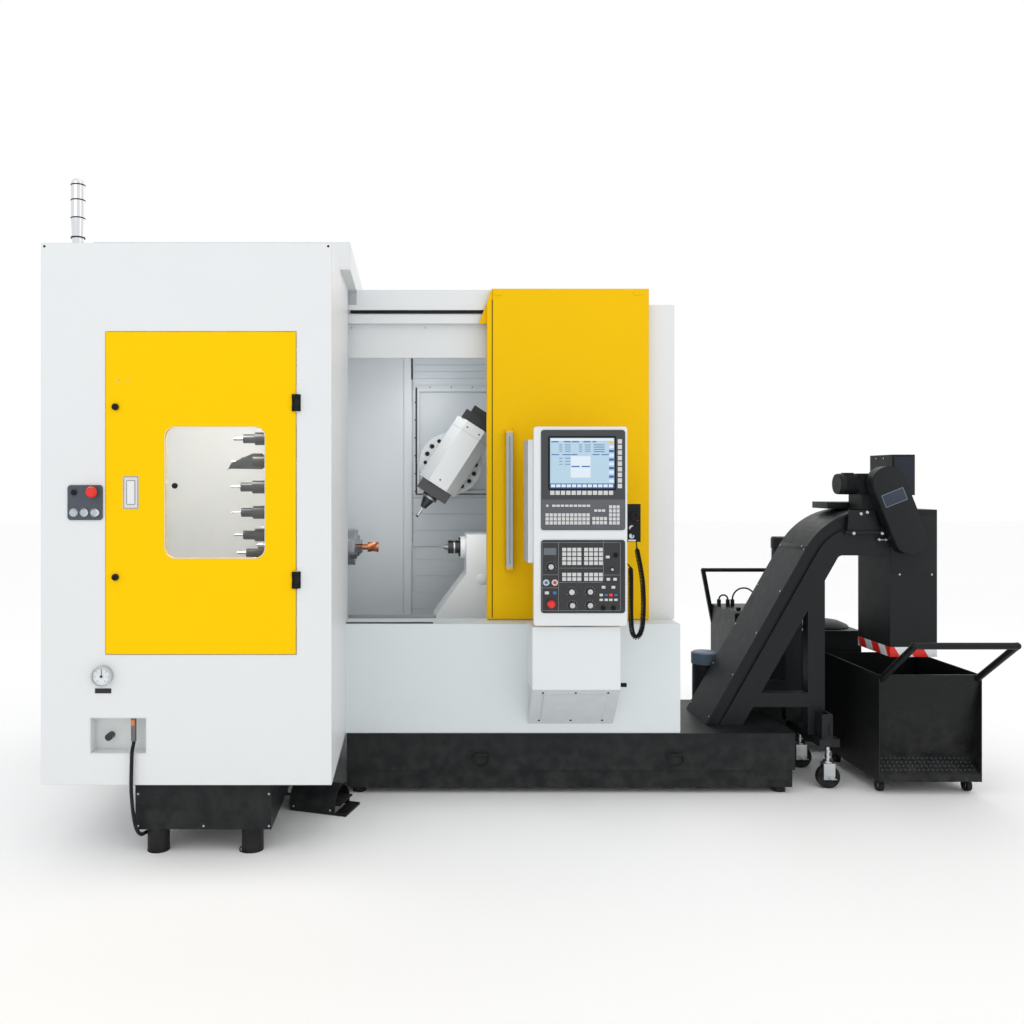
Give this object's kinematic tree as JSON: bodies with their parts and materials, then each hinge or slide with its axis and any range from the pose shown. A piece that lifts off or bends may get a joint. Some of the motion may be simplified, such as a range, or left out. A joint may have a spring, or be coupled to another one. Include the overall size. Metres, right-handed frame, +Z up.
{
  "type": "cnc turning lathe",
  "caption": "CNC turning and milling lathe with a tool magazine cabinet, open sliding door, tilting milling head, operator panel, chip conveyor and chip cart",
  "frame": {"origin": "centre of the whole part's box on the floor, under the levelling feet", "axes": "+X to the viewer's right along the spindle axis, +Y from the front to the rear, +Z up"},
  "size_m": [4.377, 2.248, 2.897],
  "materials": {
    "white_paint": "satin powder coat",
    "grey_paint": "satin powder coat",
    "interior_paint": "satin enamel",
    "cabinet_yellow": "gloss powder coat",
    "door_yellow": "gloss powder coat",
    "black_paint": "satin powder coat",
    "cart_black": "semi-gloss enamel",
    "panel_grey": "matte powder coat",
    "steel": "ground",
    "zinc": "bright zinc plate",
    "chrome": "polished",
    "cast_iron": "painted casting",
    "copper": "machined copper alloy",
    "pane": "clear",
    "screen": "display",
    "black_plastic": "moulded",
    "grey_plastic": "moulded",
    "red_plastic": "moulded",
    "rubber": "matte",
    "aluminium": "cast"
  },
  "bodies": {
    "base": {"machine_bed": "cast_iron", "levelling_feet": "steel", "coolant_tray": "black_paint", "base_apron": "grey_paint", "operator_box": "white_paint", "upper_enclosure": "white_paint", "work_liner": "interior_paint", "left_cabinet": "white_paint", "cabinet_pedestal": "black_paint", "stack_light": "chrome", "cabinet_station": "black_paint", "pressure_gauge": "black_plastic", "air_unit": "grey_plastic", "air_hose": "rubber", "cabinet_hinges": "black_paint", "headstock": "interior_paint", "foot_switch": "black_plastic", "chip_conveyor": "black_paint", "discharge_chute": "black_paint", "conveyor_drive": "black_paint", "stand_casters": "zinc", "coolant_unit": "black_paint"},
    "main_door": {"main_door": "door_yellow", "door_handle": "black_paint"},
    "magazine_door": {"magazine_door": "cabinet_yellow", "magazine_window": "pane"},
    "flush_paddle": {"flush_paddle": "black_paint"},
    "latch_upper": {"latch_upper": "black_plastic"},
    "latch_lower": {"latch_lower": "black_plastic"},
    "spindle": {"spindle_chuck": "steel", "workpiece": "copper"},
    "jaw_a": {"jaw_a": "steel"},
    "jaw_b": {"jaw_b": "steel"},
    "jaw_c": {"jaw_c": "steel"},
    "magazine": {"magazine_disc": "steel", "magazine_tools": "steel"},
    "saddle": {"saddle_frame": "interior_paint"},
    "carriage": {"carriage": "steel"},
    "tool_head": {"tool_head": "white_paint", "head_covers": "steel"},
    "tool_spindle": {"tool_spindle": "steel"},
    "tailstock": {"tailstock": "white_paint"},
    "quill": {"tailstock_quill": "steel"},
    "live_centre": {"live_centre": "steel"},
    "panel": {"panel_housing": "white_paint", "panel_faces": "panel_grey", "panel_screen": "screen", "panel_keys": "grey_plastic", "pendant": "black_plastic", "pendant_cord": "rubber"},
    "panel_estop": {"panel_estop": "red_plastic"},
    "override_knob": {"override_knob": "black_plastic"},
    "station_estop": {"station_estop": "red_plastic"},
    "gauge_needle": {"gauge_needle": "black_plastic"},
    "tray_rings": {"tray_rings": "zinc"},
    "foot_treadle": {"foot_treadle": "aluminium"},
    "stand_wheels": {"stand_wheels": "rubber"},
    "cart": {"cart_tub": "cart_black"},
    "cart_wheels_front": {"cart_wheels_front": "rubber"},
    "cart_wheels_rear": {"cart_wheels_rear": "rubber"}
  },
  "joints": [
    {"name": "main_door_slide", "type": "slide", "parent": "base", "child": "main_door", "axis": [1, 0, 0], "range_m": [-0.714, 0]},
    {"name": "magazine_door_swing", "type": "hinge", "parent": "base", "child": "magazine_door", "pos_m": [-1.1265, -1.088, 1.5], "axis": [0, 0, 1], "range_deg": [0, 110]},
    {"name": "paddle_pull", "type": "hinge", "parent": "magazine_door", "child": "flush_paddle", "pos_m": [-1.8145, -1.076, 1.577], "axis": [-1, 0, 0], "range_deg": [0, 35], "stiffness_Nm_per_rad": 1},
    {"name": "latch_upper_turn", "type": "hinge", "parent": "magazine_door", "child": "latch_upper", "pos_m": [-1.8775, -1.076, 1.8727], "axis": [0, -1, 0], "range_deg": [0, 90]},
    {"name": "latch_lower_turn", "type": "hinge", "parent": "magazine_door", "child": "latch_lower", "pos_m": [-1.8775, -1.076, 1.1673], "axis": [0, -1, 0], "range_deg": [0, 90]},
    {"name": "spindle_turn", "type": "hinge", "parent": "base", "child": "spindle", "pos_m": [-0.9405, 0.324, 1.19], "axis": [1, 0, 0], "continuous": true},
    {"name": "jaw_a_slide", "type": "slide", "parent": "spindle", "child": "jaw_a", "axis": [0, 0, 1], "range_m": [0, 0.012]},
    {"name": "jaw_b_slide", "type": "slide", "parent": "spindle", "child": "jaw_b", "axis": [0, -0.866, -0.5], "range_m": [0, 0.012]},
    {"name": "jaw_c_slide", "type": "slide", "parent": "spindle", "child": "jaw_c", "axis": [0, 0.866, -0.5], "range_m": [0, 0.012]},
    {"name": "magazine_turn", "type": "hinge", "parent": "base", "child": "magazine", "pos_m": [-1.2505, -0.426, 1.539], "axis": [1, 0, 0], "continuous": true},
    {"name": "saddle_travel", "type": "slide", "parent": "base", "child": "saddle", "axis": [0, 0, -1], "range_m": [0, 0.16]},
    {"name": "carriage_travel", "type": "slide", "parent": "saddle", "child": "carriage", "axis": [1, 0, 0], "range_m": [-0.03, 0.28]},
    {"name": "head_tilt", "type": "hinge", "parent": "carriage", "child": "tool_head", "pos_m": [-0.4285, 0.324, 1.664], "axis": [0, 1, 0], "range_deg": [-33, 57]},
    {"name": "tool_turn", "type": "hinge", "parent": "tool_head", "child": "tool_spindle", "pos_m": [-0.4285, 0.324, 1.664], "axis": [-0.5446, 0, -0.8387], "continuous": true},
    {"name": "tailstock_travel", "type": "slide", "parent": "base", "child": "tailstock", "axis": [1, 0, 0], "range_m": [-0.22, 0.25]},
    {"name": "quill_travel", "type": "slide", "parent": "tailstock", "child": "quill", "axis": [1, 0, 0], "range_m": [-0.1, 0]},
    {"name": "centre_turn", "type": "hinge", "parent": "quill", "child": "live_centre", "pos_m": [-0.5405, 0.324, 1.19], "axis": [1, 0, 0], "continuous": true},
    {"name": "panel_swivel", "type": "hinge", "parent": "base", "child": "panel", "pos_m": [0.1545, -0.386, 1.2], "axis": [0, 0, 1], "range_deg": [-20, 20]},
    {"name": "panel_estop_press", "type": "slide", "parent": "panel", "child": "panel_estop", "axis": [0, 1, 0], "range_m": [0, 0.006], "stiffness_N_per_m": 900},
    {"name": "override_turn", "type": "hinge", "parent": "panel", "child": "override_knob", "pos_m": [0.10986, -0.516, 1.03621], "axis": [0, -1, 0], "range_deg": [-120, 120]},
    {"name": "station_estop_press", "type": "slide", "parent": "base", "child": "station_estop", "axis": [0, 1, 0], "range_m": [0, 0.006], "stiffness_N_per_m": 900},
    {"name": "gauge_needle_turn", "type": "hinge", "parent": "base", "child": "gauge_needle", "pos_m": [-1.9305, -1.086, 0.759], "axis": [0, -1, 0], "range_deg": [-135, 135], "stiffness_Nm_per_rad": 0.01},
    {"name": "tray_rings_swing", "type": "hinge", "parent": "base", "child": "tray_rings", "pos_m": [0.1595, -0.313, 0.2], "axis": [-1, 0, 0], "range_deg": [0, 90]},
    {"name": "treadle_press", "type": "hinge", "parent": "base", "child": "foot_treadle", "pos_m": [-1.16137, -0.45034, 0.046], "axis": [0.309, 0.9511, 0], "range_deg": [0, 7], "stiffness_Nm_per_rad": 25, "springref_deg": -8.59},
    {"name": "stand_wheels_turn", "type": "hinge", "parent": "base", "child": "stand_wheels", "pos_m": [1.4715, 0.024, 0.058], "axis": [0, 1, 0], "continuous": true},
    {"name": "cart_roll", "type": "slide", "parent": "base", "child": "cart", "axis": [0, -1, 0], "range_m": [0, 0.7]},
    {"name": "cart_front_turn", "type": "hinge", "parent": "cart", "child": "cart_wheels_front", "pos_m": [1.9315, -0.246, 0.031], "axis": [1, 0, 0], "continuous": true},
    {"name": "cart_rear_turn", "type": "hinge", "parent": "cart", "child": "cart_wheels_rear", "pos_m": [1.9315, 0.224, 0.031], "axis": [1, 0, 0], "continuous": true}
  ],
  "couplings": [
    {"joint": "jaw_b_slide", "follows": "jaw_a_slide", "ratio": 1},
    {"joint": "jaw_c_slide", "follows": "jaw_a_slide", "ratio": 1},
    {"joint": "cart_front_turn", "follows": "cart_roll", "rad_per_m": 32.258},
    {"joint": "cart_rear_turn", "follows": "cart_roll", "rad_per_m": 32.258}
  ]
}
